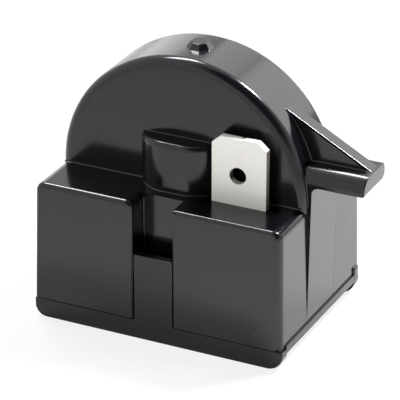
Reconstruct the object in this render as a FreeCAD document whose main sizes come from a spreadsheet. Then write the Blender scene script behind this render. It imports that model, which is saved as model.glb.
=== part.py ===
import FreeCAD, Part
import math
import os
import Sketcher

# Compressor start relay, in millimetres.
# The frame stands on the floor: X runs along the front, Y to the back, Z up.
# The origin is the middle of the front foot's underside.

os.makedirs("parts", exist_ok=True)
doc = FreeCAD.newDocument("StartRelay")

SIZES = {
    # Lower body
    "body_width": 28.84,
    "body_top_width": 27.8,
    "body_depth": 20.05,
    "body_top": 15.63,
    "front_face": -0.85,
    "seam_height": 2.23,
    "side_seam_rise": 0.45,
    "side_edge_radius": 1.05,
    "end_edge_radius": 0.55,
    # Channel between the two front blocks
    "channel_left": -2.67,
    "channel_width": 4.6,
    "channel_depth": 2.59,
    "channel_lip_radius": 0.95,
    # Round-topped slab
    "slab_radius": 13.97,
    "slab_front": 5.9,
    "slab_thickness": 8.3,
    "slab_edge_radius": 1.0,
    # Small box on the slab's face
    "boss_half_width": 3.55,
    "boss_front": 3.7,
    "boss_top": 21.08,
    "boss_corner_radius": 1.6,
    "boss_edge_radius": 0.6,
    # Pip on the crown
    "pip_base_radius": 1.6,
    "pip_top_radius": 0.95,
    "pip_rise": 0.65,
    # Side arm, its upright and its gusset
    "arm_front": 6.7,
    "arm_depth": 5.5,
    "arm_top": 19.88,
    "arm_thickness": 1.95,
    "arm_tip": 20.4,
    "arm_front_land": 0.35,
    "arm_rear_radius": 0.7,
    "arm_tip_radius": 0.15,
    "arm_inner_radius": 0.6,
    "upright_depth": 6.8,
    "gusset_thickness": 1.8,
    "gusset_middle": 9.75,
    "gusset_reach": 19.6,
    "gusset_root": 8.5,
    "gusset_angle": 30.0,
    # Walls and clearances
    "wall": 1.2,
    "slab_wall": 1.3,
    "roof": 1.2,
    "fit_gap": 0.1,
    "plug_gap": 0.15,
    # Base cover
    "cover_overhang": 0.08,
    "cover_setback": 0.12,
    "cover_underside": 1.55,
    "front_foot_depth": 1.3,
    "rear_foot_depth": 2.6,
    "foot_radius": 1.3,
    "plug_height": 1.1,
    "tongue_top": 9.7,
    "tongue_thickness": 0.93,
    "tongue_edge_radius": 0.2,
    "pin_hole_radius": 2.0,
    "pin_hole_chamfer": 0.2,
    "plate_corner_radius": 0.7,
    "cradle_margin": 4.0,
    "cradle_thickness": 2.3,
    # Terminals
    "socket_spacing": 15.0,
    "tab_front": 4.05,
    "tab_thickness": 0.8,
    "tab_width": 6.3,
    "tab_top": 23.38,
    "tab_chamfer_side": 1.0,
    "tab_chamfer_rise": 1.15,
    "tab_hole_height": 18.92,
    "tab_hole_radius": 0.9,
    "shoulder_side": 0.45,
    "shoulder_height": 1.2,
    "neck_height": 0.6,
    "barrel_bore_radius": 1.65,
    "barrel_wall": 0.5,
    "barrel_slit": 0.8,
    "barrel_clearance": 0.3,
    "barrel_drop": 0.9,
    "clamp_gap": 0.04,
    "clamp_wall": 0.4,
    "clamp_rise": 0.9,
    "clamp_drop": 1.9,
    # Straps and rivets
    "strap_thickness": 0.5,
    "strap_headroom": 0.5,
    "strap_height": 3.6,
    "strap_clearance": 0.4,
    "strap_bend_radius": 0.6,
    "plate_margin": 1.4,
    "plate_lead": 1.5,
    "rivet_radius": 0.95,
    "rivet_head_radius": 1.6,
    "rivet_head_height": 0.5,
    # Disc and its springs
    "disc_margin": 3.65,
    "disc_gap": 0.15,
    "disc_edge": 0.25,
    "spring_margin": 2.1,
    "spring_width": 8.0,
    "spring_slot_width": 1.4,
    "spring_slot_margin": 1.5,
    "spring_thickness": 0.3,
    "spring_room": 0.925,
    "spring_gap": 0.03,
    "locator_width": 1.4,
}

sheet = doc.addObject("Spreadsheet::Sheet", "Sizes")
for row, (alias, number) in enumerate(SIZES.items(), start=1):
    sheet.set(f"A{row}", alias)
    sheet.set(f"B{row}", str(number))
    sheet.setAlias(f"B{row}", alias)
doc.recompute()


class Size:
    """A number together with the spreadsheet expression that gives it."""

    def __init__(self, number, text):
        self.number = number
        self.text = text

    @staticmethod
    def of(other):
        return other if isinstance(other, Size) else Size(float(other), repr(float(other)))

    def join(self, other, sign, number):
        return Size(number, f"({self.text} {sign} {Size.of(other).text})")

    def __add__(self, other):
        return self.join(other, "+", self.number + Size.of(other).number)

    def __sub__(self, other):
        return self.join(other, "-", self.number - Size.of(other).number)

    def __mul__(self, other):
        return self.join(other, "*", self.number * Size.of(other).number)

    def __truediv__(self, other):
        return self.join(other, "/", self.number / Size.of(other).number)

    def __neg__(self):
        return Size(0.0, "0") - self


def size(alias):
    """The driving dimension of that name."""
    return Size(SIZES[alias], f"Sizes.{alias}")


def root(value):
    return Size(math.sqrt(value.number), f"sqrt({value.text})")


def tangent(degrees):
    return Size(math.tan(math.radians(degrees.number)), f"tan({degrees.text} * 1 deg)")


def bind(thing, name, value):
    """Ties a property of an object to the spreadsheet."""
    thing.setExpression(name, Size.of(value).text)


def new_body(name):
    body = doc.addObject("PartDesign::Body", name)
    body.Label = name
    return body


def new_sketch(body, name, role, offset=0.0):
    """A sketch on one of the body's origin planes, moved to that X, Y or Z."""
    sketch = body.newObject("Sketcher::SketchObject", name)
    support = [face for face in body.Origin.OriginFeatures if face.Role == role][0]
    sketch.AttachmentSupport = (support, [""])
    sketch.MapMode = "FlatFace"
    shift = Size.of(offset)
    bind(sketch, "AttachmentOffset.Base.z", -shift if role == "XZ_Plane" else shift)
    return sketch


def hold(sketch, kind, first, value):
    """Adds a dimension to a sketch and ties it to the spreadsheet."""
    held = Size.of(value)
    index = sketch.addConstraint(Sketcher.Constraint(kind, *first, held.number))
    sketch.setExpression(f"Constraints[{index}]", held.text)


def arc_middle(start, end, radius, side):
    """The middle of the shorter arc from start to end, bulging left (1) or right (-1)."""
    dx = end[0] - start[0]
    dy = end[1] - start[1]
    half = math.hypot(dx, dy) / 2
    rise = radius - math.sqrt(max(radius * radius - half * half, 0.0))
    normal_x = -dy / (2 * half) * side
    normal_y = dx / (2 * half) * side
    return ((start[0] + end[0]) / 2 + normal_x * rise, (start[1] + end[1]) / 2 + normal_y * rise)


def outline(sketch, points, arcs=None):
    """A closed outline through the points.

    arcs maps a side's index to (radius, bulge), or to (radius, bulge, height of the centre)
    where the side is a half circle.
    """
    arcs = arcs or {}
    corners = [(Size.of(x), Size.of(y)) for x, y in points]
    spots = [(x.number, y.number) for x, y in corners]
    count = len(spots)
    for index in range(count):
        start = spots[index]
        end = spots[(index + 1) % count]
        first = FreeCAD.Vector(*start, 0)
        last = FreeCAD.Vector(*end, 0)
        if index in arcs:
            radius, side = arcs[index][:2]
            middle = FreeCAD.Vector(*arc_middle(start, end, Size.of(radius).number, side), 0)
            sketch.addGeometry(Part.Arc(first, middle, last), False)
        else:
            sketch.addGeometry(Part.LineSegment(first, last), False)
    ends = []
    for index in range(count):
        flipped = False
        if index in arcs:
            begin = sketch.getPoint(index, 1)
            flipped = (begin - FreeCAD.Vector(*spots[index], 0)).Length > 1e-6
        ends.append((2, 1) if flipped else (1, 2))
    for index in range(count):
        follower = (index + 1) % count
        joint = Sketcher.Constraint("Coincident", index, ends[index][1], follower, ends[follower][0])
        sketch.addConstraint(joint)
    for index, (x, y) in enumerate(corners):
        hold(sketch, "DistanceX", (-1, 1, index, ends[index][0]), x)
        hold(sketch, "DistanceY", (-1, 1, index, ends[index][0]), y)
    for index, arc in arcs.items():
        if len(arc) == 3:
            hold(sketch, "DistanceY", (-1, 1, index, 3), arc[2])
        else:
            hold(sketch, "Radius", (index,), arc[0])


def rectangle(sketch, left, right, low, high):
    outline(sketch, [(left, low), (right, low), (right, high), (left, high)])


def circle(sketch, x, y, radius):
    held = [Size.of(value) for value in (x, y, radius)]
    centre = FreeCAD.Vector(held[0].number, held[1].number, 0)
    index = sketch.addGeometry(Part.Circle(centre, FreeCAD.Vector(0, 0, 1), held[2].number), False)
    hold(sketch, "DistanceX", (-1, 1, index, 3), x)
    hold(sketch, "DistanceY", (-1, 1, index, 3), y)
    hold(sketch, "Radius", (index,), radius)


def pad(body, sketch, length, away=False):
    """Adds the outline's prism, along the plane's normal or, with away, against it."""
    feature = body.newObject("PartDesign::Pad", f"{sketch.Name}_pad")
    feature.Profile = sketch
    feature.Reversed = away
    bind(feature, "Length", length)
    sketch.Visibility = False
    doc.recompute()
    return feature


def pocket(body, sketch, length, away=False):
    """Cuts the outline's prism, against the plane's normal or, with away, along it."""
    before = body.Shape.Volume
    feature = body.newObject("PartDesign::Pocket", f"{sketch.Name}_cut")
    feature.Profile = sketch
    feature.Reversed = away
    bind(feature, "Length", length)
    sketch.Visibility = False
    doc.recompute()
    if feature.Shape.Volume > before - 1e-6:
        raise ValueError(f"{sketch.Name} cuts nothing")
    return feature


def edges_inside(feature, low, high):
    """Names of the edges that lie wholly inside a box."""
    box = FreeCAD.BoundBox(*low, *high)
    names = []
    for index, edge in enumerate(feature.Shape.Edges, start=1):
        if box.isInside(edge.BoundBox):
            names.append(f"Edge{index}")
    return names


def dress(body, kind, name, feature, names, prop, value):
    """A fillet or a chamfer on the named edges."""
    if not names:
        raise ValueError(f"{name} has no edges")
    shaped = body.newObject(f"PartDesign::{kind}", name)
    shaped.Base = (feature, names)
    bind(shaped, prop, value)
    doc.recompute()
    return shaped


def round_off(body, name, feature, names, radius):
    return dress(body, "Fillet", name, feature, names, "Radius", radius)


# Places that several pieces share
FAR = 60.0
NEAR = 0.01
front = size("front_face")
rear = front + size("body_depth")
half_width = size("body_width") / 2
half_top = size("body_top_width") / 2
seam = size("seam_height")
top = size("body_top")
slab_front = front + size("slab_front")
slab_rear = slab_front + size("slab_thickness")
slab_middle = (slab_front + slab_rear) / 2
slab_radius = size("slab_radius")
channel_left = size("channel_left")
channel_right = channel_left + size("channel_width")
channel_back = front + size("channel_depth")
chamber_front = slab_front + size("slab_wall")
chamber_rear = slab_rear - size("slab_wall")
chamber_radius = slab_radius - size("slab_wall")
pocket_half_width = half_top - size("wall")
pocket_front = front + size("wall")
pocket_top = top - size("roof")
socket_x = size("socket_spacing") / 2
tab_front = front + size("tab_front")
tab_rear = tab_front + size("tab_thickness")
socket_y = (tab_front + tab_rear) / 2
barrel_radius = size("barrel_bore_radius") + size("barrel_wall")
strap_rear = tab_rear + size("strap_thickness")
front_plate_rear = chamber_front + size("strap_thickness")
rear_plate_front = chamber_rear - size("strap_thickness")
disc_front = front_plate_rear + size("spring_room")
disc_rear = rear_plate_front - size("spring_room")
strap_bottom = pocket_top - size("strap_headroom") - size("strap_height")
rivet_height = strap_bottom + size("strap_height") / 2
barrel_bottom = seam + size("plug_height") + size("barrel_clearance")
barrel_top = strap_bottom - size("barrel_drop")
arm_low = size("arm_top") - size("arm_thickness")
strap_reach = pocket_half_width - size("strap_clearance")
disc_radius = chamber_radius - size("disc_margin")
plate_radius = disc_radius - size("plate_margin")
spring_half_length = plate_radius - size("spring_margin")


def box_of(x0, x1, y0, y1, z0, z1):
    """Corners of a search box from sizes or numbers."""
    low = [Size.of(value).number for value in (x0, y0, z0)]
    high = [Size.of(value).number for value in (x1, y1, z1)]
    return low, high


def fuse(name, things):
    joined = doc.addObject("Part::MultiFuse", name)
    joined.Shapes = things
    doc.recompute()
    return joined


def make_block():
    """The drafted lower block, with the channel between its two front halves."""
    body = new_body("housing_block")
    profile = new_sketch(body, "block_profile", "XZ_Plane", front)
    corners = [(-half_width, seam), (half_width, seam), (half_top, top), (-half_top, top)]
    outline(profile, corners)
    block = pad(body, profile, rear - front, away=True)
    names = []
    for x in (-half_top, half_top):
        names += edges_inside(block, *box_of(x - NEAR, x + NEAR, -FAR, FAR, top - NEAR, top + NEAR))
    sides = round_off(body, "block_side_edges", block, names, size("side_edge_radius"))
    names = []
    for y in (front, rear):
        around = edges_inside(sides, *box_of(-FAR, FAR, y - NEAR, y + NEAR, -FAR, FAR))
        below = edges_inside(sides, *box_of(-FAR, FAR, y - NEAR, y + NEAR, seam - NEAR, seam + NEAR))
        names += [name for name in around if name not in below]
    round_off(body, "block_end_edges", sides, names, size("end_edge_radius"))

    channel = new_sketch(body, "channel_profile", "XZ_Plane", front - 1.0)
    rectangle(channel, channel_left, channel_right, seam - 1.0, top + 1.0)
    pocket(body, channel, size("channel_depth") + 1.0)
    radius = size("channel_lip_radius")
    lip = new_sketch(body, "channel_lip", "XZ_Plane", front - 1.0)
    points = [(channel_left - radius, top), (channel_left, top - radius), (channel_left + 0.5, top - radius),
              (channel_left + 0.5, top + 0.5), (channel_left - radius, top + 0.5)]
    outline(lip, points, {0: (radius, 1)})
    pocket(body, lip, size("channel_depth") + 1.0)
    return body


def make_slab():
    """The round-topped slab that holds the disc."""
    body = new_body("housing_slab")
    profile = new_sketch(body, "slab_profile", "XZ_Plane", slab_front)
    corners = [(slab_radius, top), (-slab_radius, top), (-slab_radius, seam), (slab_radius, seam)]
    outline(profile, corners, {0: (slab_radius, -1, top)})
    slab = pad(body, profile, size("slab_thickness"), away=True)
    names = []
    for y in (slab_front, slab_rear):
        names += edges_inside(slab, *box_of(-FAR, FAR, y - NEAR, y + NEAR, seam + NEAR, FAR))
    round_off(body, "slab_rim", slab, names, size("slab_edge_radius"))
    return body


def make_boss():
    """The small box on the slab's face, above the channel."""
    body = new_body("housing_boss")
    profile = new_sketch(body, "boss_profile", "XY_Plane", top - 0.5)
    half = size("boss_half_width")
    boss_front = front + size("boss_front")
    rectangle(profile, -half, half, boss_front, slab_front + 0.5)
    boss = pad(body, profile, size("boss_top") - top + 0.5)
    names = []
    for x in (-half, half):
        names += edges_inside(boss, *box_of(x - NEAR, x + NEAR, boss_front - NEAR, boss_front + NEAR, -FAR, FAR))
    rounded = round_off(body, "boss_corners", boss, names, size("boss_corner_radius"))
    crown = size("boss_top")
    names = edges_inside(rounded, *box_of(-half + 0.1, half - 0.1, boss_front - NEAR, boss_front + NEAR,
                                          crown - NEAR, crown + NEAR))
    round_off(body, "boss_top_edge", rounded, names, size("boss_edge_radius"))
    return body


def make_arm():
    """The side arm on its upright: a loaf-shaped bar, much rounded at the front."""
    body = new_body("housing_arm")
    arm_front = front + size("arm_front")
    arm_rear = arm_front + size("arm_depth")
    inner = size("arm_inner_radius")
    low = arm_low
    high = size("arm_top")
    tip = size("arm_tip")
    heel = half_width - 2.5
    profile = new_sketch(body, "arm_profile", "XZ_Plane", arm_front)
    corners = [(heel, high), (heel, seam), (half_width, seam), (half_width, low - inner),
               (half_width + inner, low), (tip, low), (tip, high)]
    outline(profile, corners, {3: (inner, 1)})
    arm = pad(body, profile, size("arm_depth"), away=True)
    along = (heel - NEAR, FAR)
    names = edges_inside(arm, *box_of(*along, arm_front - NEAR, arm_front + NEAR, high - NEAR, high + NEAR))
    radius = size("arm_thickness") - size("arm_front_land")
    shaped = round_off(body, "arm_front_edge", arm, names, radius)
    names = edges_inside(shaped, *box_of(*along, arm_rear - NEAR, arm_rear + NEAR, high - NEAR, high + NEAR))
    under = (half_width + inner - NEAR, FAR)
    names += edges_inside(shaped, *box_of(*under, arm_rear - NEAR, arm_rear + NEAR, low - NEAR, low + NEAR))
    shaped = round_off(body, "arm_rear_edges", shaped, names, size("arm_rear_radius"))
    ends = edges_inside(shaped, *box_of(tip - NEAR, tip + NEAR, -FAR, FAR, low - NEAR, FAR))
    round_off(body, "arm_tip_edges", shaped, ends, size("arm_tip_radius"))
    return body


def make_upright():
    """The flat pad down the right side that the arm grows from."""
    body = new_body("housing_upright")
    profile = new_sketch(body, "upright_profile", "XZ_Plane", front + size("arm_front"))
    rectangle(profile, half_width - 2.5, half_width, seam, arm_low + 0.3)
    pad(body, profile, size("upright_depth"), away=True)
    return body


def make_gusset():
    """The thin triangle between the arm and the slab's rim."""
    body = new_body("housing_gusset")
    start = front + size("gusset_middle") - size("gusset_thickness") / 2
    profile = new_sketch(body, "gusset_profile", "XZ_Plane", start)
    reach = size("gusset_reach")
    inside = size("gusset_root")
    high = size("arm_top")
    rise = (reach - inside) * tangent(size("gusset_angle"))
    corners = [(inside, high - 1.0), (reach, high - 1.0), (reach, high), (inside, high + rise)]
    outline(profile, corners)
    pad(body, profile, size("gusset_thickness"), away=True)
    return body


def make_pip():
    """The small eight-sided button on the crown of the slab."""
    body = new_body("housing_pip")
    crown = top + slab_radius
    base = size("pip_base_radius")
    foot = crown - 0.6
    low = new_sketch(body, "pip_foot", "XY_Plane", foot)
    eight_sided(low, base)
    root_part = pad(body, low, 0.55)
    start = new_sketch(body, "pip_base", "XY_Plane", crown - 0.05)
    eight_sided(start, base)
    end = new_sketch(body, "pip_top", "XY_Plane", crown + size("pip_rise"))
    eight_sided(end, size("pip_top_radius"))
    taper = body.newObject("PartDesign::AdditiveLoft", "pip_taper")
    taper.Profile = start
    taper.Sections = [end]
    doc.recompute()
    if taper.Shape.Volume < root_part.Shape.Volume + 0.1:
        raise ValueError("pip_taper adds nothing")
    return body


def eight_sided(sketch, radius):
    """A regular eight-sided outline about the slab's middle."""
    points = []
    for turn_index in range(8):
        angle = math.radians(22.5 + 45.0 * turn_index)
        points.append((radius * math.cos(angle), slab_middle + radius * math.sin(angle)))
    outline(sketch, points)


def turn(body, profile, axis):
    """Revolves a profile once round one of its sketch's axes or edges."""
    feature = body.newObject("PartDesign::Revolution", f"{profile.Name}_turned")
    feature.Profile = profile
    feature.ReferenceAxis = (profile, [axis])
    feature.Angle = 360.0
    profile.Visibility = False
    doc.recompute()
    return feature


def make_hollow():
    """What is cut from the housing: the disc's chamber, the sockets' pockets and the tab's slot."""
    body = new_body("housing_hollow")
    below = seam - 1.0
    chamber = new_sketch(body, "chamber_profile", "XZ_Plane", chamber_front)
    corners = [(chamber_radius, top), (-chamber_radius, top), (-chamber_radius, below), (chamber_radius, below)]
    outline(chamber, corners, {0: (chamber_radius, -1, top)})
    pad(body, chamber, chamber_rear - chamber_front, away=True)
    wall = size("wall")
    spans = {
        "left_pocket": (-pocket_half_width, channel_left - wall, pocket_front, chamber_rear),
        "right_pocket": (channel_right + wall, pocket_half_width, pocket_front, slab_middle),
        "middle_pocket": (channel_left - wall * 2, channel_right + wall * 2, channel_back + wall, slab_middle),
    }
    for name, (left, right, low, high) in spans.items():
        profile = new_sketch(body, name, "XY_Plane", below)
        rectangle(profile, left, right, low, high)
        pad(body, profile, pocket_top - below)
    gap = size("fit_gap")
    half = size("tab_width") / 2 + gap
    slot = new_sketch(body, "tab_slot", "XY_Plane", pocket_top - 1.0)
    rectangle(slot, socket_x - half, socket_x + half, tab_front - gap, tab_rear + gap)
    pad(body, slot, size("roof") + 2.0)
    return body


def make_box(name, left, right, low, high, bottom, crown):
    """A plain block between named planes."""
    block = doc.addObject("Part::Box", name)
    bind(block, "Length", right - left)
    bind(block, "Width", high - low)
    bind(block, "Height", crown - bottom)
    bind(block, "Placement.Base.x", left)
    bind(block, "Placement.Base.y", low)
    bind(block, "Placement.Base.z", bottom)
    doc.recompute()
    return block


def make_locators():
    """Three ribs in the chamber's roof that centre the disc."""
    ribs = []
    for index, degrees in enumerate((30.0, 90.0, 150.0), start=1):
        body = new_body(f"housing_rib_{index}")
        profile = new_sketch(body, "rib_profile", "XZ_Plane", chamber_front - 0.3)
        inner = disc_radius + size("disc_gap")
        add_rib_outline(profile, degrees, inner, chamber_radius + 0.3)
        pad(body, profile, chamber_rear - chamber_front + 0.6, away=True)
        ribs.append(body)
    return ribs


def add_rib_outline(sketch, degrees, inner, outer):
    """A radial bar in a sketch, turned about the slab's axis."""
    half = size("locator_width") / 2
    along = math.cos(math.radians(degrees))
    up = math.sin(math.radians(degrees))
    corners = []
    for reach, side in ((inner, -half), (outer, -half), (outer, half), (inner, half)):
        corners.append((reach * along - side * up, top + reach * up + side * along))
    outline(sketch, corners)


def make_housing():
    outside = [make_block(), make_slab(), make_boss(), make_arm(), make_upright(), make_gusset(), make_pip()]
    shell = fuse("housing_outside", outside)
    wall = size("wall")
    below = seam - 1.0
    rise = seam + size("side_seam_rise")
    inner = half_top - wall / 2
    outer = half_width + 1.0
    hollow = [
        make_hollow(),
        make_box("rear_hollow", -pocket_half_width, pocket_half_width, slab_rear, rear - wall, below, pocket_top),
        make_box("left_seam_step", -outer, -inner, pocket_front, rear - wall, below, rise),
        make_box("right_seam_step", inner, outer, pocket_front, rear - wall, below, rise),
    ]
    hollowed = doc.addObject("Part::Cut", "housing_hollowed")
    hollowed.Base = shell
    hollowed.Tool = fuse("housing_hollows", hollow)
    doc.recompute()
    housing = fuse("housing", [hollowed] + make_locators())
    housing.Label = "housing"
    return housing


def make_base_cover():
    body = new_body("base_cover")
    half = half_width + size("cover_overhang")
    start = front + size("cover_setback")
    end = rear - size("cover_setback")
    under = size("cover_underside")
    plate = new_sketch(body, "plate_profile", "XY_Plane", under)
    rectangle(plate, -half, half, start, end)
    feature = pad(body, plate, seam - under)
    corners = edges_inside(feature, *box_of(-FAR, FAR, -FAR, FAR, under + NEAR - 0.1, FAR))
    upright = [name for name in corners if feature.Shape.getElement(name).BoundBox.ZLength > 0.1]
    round_off(body, "plate_corners", feature, upright, size("plate_corner_radius"))

    radius = size("foot_radius")
    feet = {"front_foot": (start, size("front_foot_depth")), "rear_foot": (end - size("rear_foot_depth"),
                                                                          size("rear_foot_depth"))}
    for name, (place, depth) in feet.items():
        profile = new_sketch(body, name, "XZ_Plane", place)
        points = [(-half, seam - NEAR), (-half, radius), (-half + radius, 0.0), (half - radius, 0.0),
                  (half, radius), (half, seam - NEAR)]
        outline(profile, points, {1: (radius, -1), 3: (radius, -1)})
        pad(body, profile, depth, away=True)

    inner = half_top - size("wall") / 2 + size("fit_gap")
    rise = size("side_seam_rise")
    for name, left, right in (("left_ledge", -half_width, -inner), ("right_ledge", inner, half_width)):
        profile = new_sketch(body, name, "XY_Plane", seam)
        low = front + size("wall") + size("fit_gap")
        rectangle(profile, left, right, low, rear - size("wall") - size("fit_gap"))
        pad(body, profile, rise)

    gap = size("plug_gap")
    plugs = {
        "left_plug": (-pocket_half_width + gap, channel_left - size("wall") - gap, pocket_front + gap, chamber_front),
        "right_plug": (channel_right + size("wall") + gap, pocket_half_width - gap, pocket_front + gap, chamber_front),
        "rear_plug": (-pocket_half_width + gap, pocket_half_width - gap, slab_rear + gap, rear - size("wall") - gap),
    }
    for name, (left, right, low, high) in plugs.items():
        profile = new_sketch(body, name, "XY_Plane", seam - NEAR)
        rectangle(profile, left, right, low, high)
        pad(body, profile, size("plug_height"))

    tongue = new_sketch(body, "tongue_profile", "XY_Plane", seam - NEAR)
    side = size("fit_gap")
    rectangle(tongue, channel_left + side, channel_right - side, start, start + size("tongue_thickness"))
    strip = pad(body, tongue, size("tongue_top") - seam)
    crown = size("tongue_top") - NEAR
    names = edges_inside(strip, *box_of(-FAR, FAR, -FAR, FAR, crown - NEAR, crown + NEAR))
    round_off(body, "tongue_top_edges", strip, names, size("tongue_edge_radius"))

    cradle = new_sketch(body, "cradle_profile", "XZ_Plane", slab_middle - size("cradle_thickness") / 2)
    seat = disc_radius + size("disc_gap")
    reach = disc_radius - size("cradle_margin")
    shoulder = top - root(seat * seat - reach * reach)
    points = [(-reach, seam - NEAR), (reach, seam - NEAR), (reach, shoulder), (-reach, shoulder)]
    outline(cradle, points, {2: (seat, 1)})
    pad(body, cradle, size("cradle_thickness"), away=True)

    holes = new_sketch(body, "pin_holes", "XY_Plane", 0.0)
    circle(holes, -socket_x, socket_y, size("pin_hole_radius"))
    circle(holes, socket_x, socket_y, size("pin_hole_radius"))
    drilled = pocket(body, holes, seam + size("plug_height") + 1.0, away=True)
    names = []
    for index, edge in enumerate(drilled.Shape.Edges, start=1):
        round_edge = edge.Curve.TypeId == "Part::GeomCircle"
        low = abs(edge.BoundBox.ZMax - under.number) < 0.01
        if round_edge and low and abs(edge.Curve.Radius - size("pin_hole_radius").number) < 0.01:
            names.append(f"Edge{index}")
    dress(body, "Chamfer", "pin_hole_mouths", drilled, names, "Size", size("pin_hole_chamfer"))
    return body


def add_barrel(body, x):
    """The rolled pin socket at the foot of a terminal, slit at the front."""
    bore = size("barrel_bore_radius")
    slit = size("barrel_slit") / 2
    outer_drop = root(barrel_radius * barrel_radius - slit * slit)
    inner_drop = root(bore * bore - slit * slit)
    profile = new_sketch(body, "barrel_profile", "XY_Plane", barrel_bottom)
    circle(profile, x, socket_y, barrel_radius)
    circle(profile, x, socket_y, bore)
    pad(body, profile, barrel_top - barrel_bottom)
    cut = new_sketch(body, "barrel_slit", "XY_Plane", barrel_bottom - 1.0)
    rectangle(cut, x - slit, x + slit, socket_y - outer_drop - 1.0, socket_y - inner_drop + 0.4)
    return pocket(body, cut, barrel_top - barrel_bottom + 2.0, away=True)


def make_terminal(name, x, with_tab):
    """A stamped terminal: pin socket, flat shank and, on one, the outside tab."""
    body = new_body(name)
    half = size("tab_width") / 2
    shoulder = pocket_top - size("fit_gap")
    blade = new_sketch(body, "blade_profile", "XZ_Plane", tab_front)
    wide = half + size("shoulder_side")
    under = shoulder - size("shoulder_height")
    foot = barrel_top
    neck = foot + size("neck_height")
    lower = [(x - barrel_radius, foot), (x + barrel_radius, foot), (x + half, neck), (x + half, under),
             (x + wide, under), (x + wide, shoulder)]
    upper = []
    if with_tab:
        peak = size("tab_top")
        side = size("tab_chamfer_side")
        drop = size("tab_chamfer_rise")
        upper = [(x + half, shoulder), (x + half, peak - drop), (x + half - side, peak), (x - half + side, peak),
                 (x - half, peak - drop), (x - half, shoulder)]
    left = [(x - wide, shoulder), (x - wide, under), (x - half, under), (x - half, neck)]
    outline(blade, lower + upper + left)
    pad(body, blade, size("tab_thickness"), away=True)
    holes = new_sketch(body, "blade_holes", "XZ_Plane", tab_front - 1.0)
    circle(holes, x, rivet_height, size("rivet_radius") + size("fit_gap") / 2)
    if with_tab:
        circle(holes, x, size("tab_hole_height"), size("tab_hole_radius"))
    pocket(body, holes, size("tab_thickness") + 2.0)
    add_barrel(body, x)
    return body


def make_clamp(name, x):
    """The steel ring that keeps a socket closed on its pin, open at the back."""
    body = new_body(name)
    inner = barrel_radius + size("clamp_gap")
    bottom = barrel_bottom + size("clamp_rise")
    height = barrel_top - size("clamp_drop") - bottom
    ring = new_sketch(body, "ring_profile", "XY_Plane", bottom)
    circle(ring, x, socket_y, inner + size("clamp_wall"))
    circle(ring, x, socket_y, inner)
    pad(body, ring, height)
    gap = size("barrel_slit")
    cut = new_sketch(body, "ring_gap", "XY_Plane", bottom - 1.0)
    rectangle(cut, x - gap, x + gap, socket_y + inner - 0.6, socket_y + inner + size("clamp_wall") + 1.0)
    pocket(body, cut, height + 2.0, away=True)
    return body


def make_strap(name, side, plate_y):
    """A strap folded round the chamber's side to a round plate behind or before the disc."""
    body = new_body(name)
    thick = size("strap_thickness")
    reach = strap_reach * side
    inside = reach - thick * side
    inner_end = (socket_x - size("tab_width") / 2) * side
    plate_rear = plate_y + thick
    plan = new_sketch(body, "fold_plan", "XY_Plane", strap_bottom)
    bend = size("strap_bend_radius")
    outer_x = reach - bend * side
    plate_end = (plate_radius - size("plate_lead")) * side
    points = [(inner_end, tab_rear), (outer_x, tab_rear), (reach, tab_rear + bend),
              (reach, plate_rear - bend), (outer_x, plate_rear), (plate_end, plate_rear),
              (plate_end, plate_y), (inside, plate_y), (inside, strap_rear), (inner_end, strap_rear)]
    outline(plan, points, {1: (bend, -side), 3: (bend, -side)})
    pad(body, plan, size("strap_height"))
    plate = new_sketch(body, "plate_profile", "XZ_Plane", plate_y)
    circle(plate, 0.0, top, plate_radius)
    pad(body, plate, thick, away=True)
    hole = new_sketch(body, "rivet_hole", "XZ_Plane", tab_rear - 1.0)
    circle(hole, socket_x * side, rivet_height, size("rivet_radius") + size("fit_gap") / 2)
    pocket(body, hole, thick + 1.5)
    return body


def make_rivet(name, x):
    """A solid rivet through a terminal and its strap, both heads formed."""
    body = new_body(name)
    profile = new_sketch(body, "rivet_profile", "YZ_Plane", x)
    radius = size("rivet_radius")
    head = size("rivet_head_radius")
    high = size("rivet_head_height")
    inner = head - 0.5
    points = [(tab_front - high, rivet_height), (strap_rear + high, rivet_height),
              (strap_rear + high, rivet_height + inner), (strap_rear, rivet_height + head),
              (strap_rear, rivet_height + radius), (tab_front, rivet_height + radius),
              (tab_front, rivet_height + head), (tab_front - high, rivet_height + inner)]
    outline(profile, points)
    turn(body, profile, "Edge1")
    return body


def make_contact_spring(name, plate_face, disc_face, way):
    """A bowed leaf between a strap's plate and the disc, slotted into two fingers."""
    body = new_body(name)
    half = spring_half_length
    gap = size("spring_gap") * way
    thick = size("spring_thickness")
    foot = plate_face + gap
    peak = disc_face - gap
    rise = (peak - foot) * way
    radius = (half * half + rise * rise) / (rise * 2.0)
    inner_rise = rise - thick
    inner_half = half - thick * 2.0
    inner_radius = (inner_half * inner_half + inner_rise * inner_rise) / (inner_rise * 2.0)
    profile = new_sketch(body, "leaf_profile", "YZ_Plane", -size("spring_width") / 2)
    points = [(foot, top - half), (foot, top + half), (foot, top + inner_half), (foot, top - inner_half)]
    outline(profile, points, {0: (radius, -way), 2: (inner_radius, way)})
    pad(body, profile, size("spring_width"))
    slot = new_sketch(body, "leaf_slot", "XZ_Plane", slab_front)
    across = size("spring_slot_width") / 2
    along = half - size("spring_slot_margin")
    rectangle(slot, -across, across, top - along, top + along)
    pocket(body, slot, size("slab_thickness"))
    return body


def make_disc():
    """The ceramic disc, its rim slightly chamfered."""
    body = new_body("ptc_disc")
    profile = new_sketch(body, "disc_profile", "XZ_Plane", disc_front)
    circle(profile, 0.0, top, disc_radius)
    solid = pad(body, profile, disc_rear - disc_front, away=True)
    names = []
    for index, edge in enumerate(solid.Shape.Edges, start=1):
        if edge.Curve.TypeId == "Part::GeomCircle":
            names.append(f"Edge{index}")
    dress(body, "Chamfer", "disc_rim", solid, names, "Size", size("disc_edge"))
    return body


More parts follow.
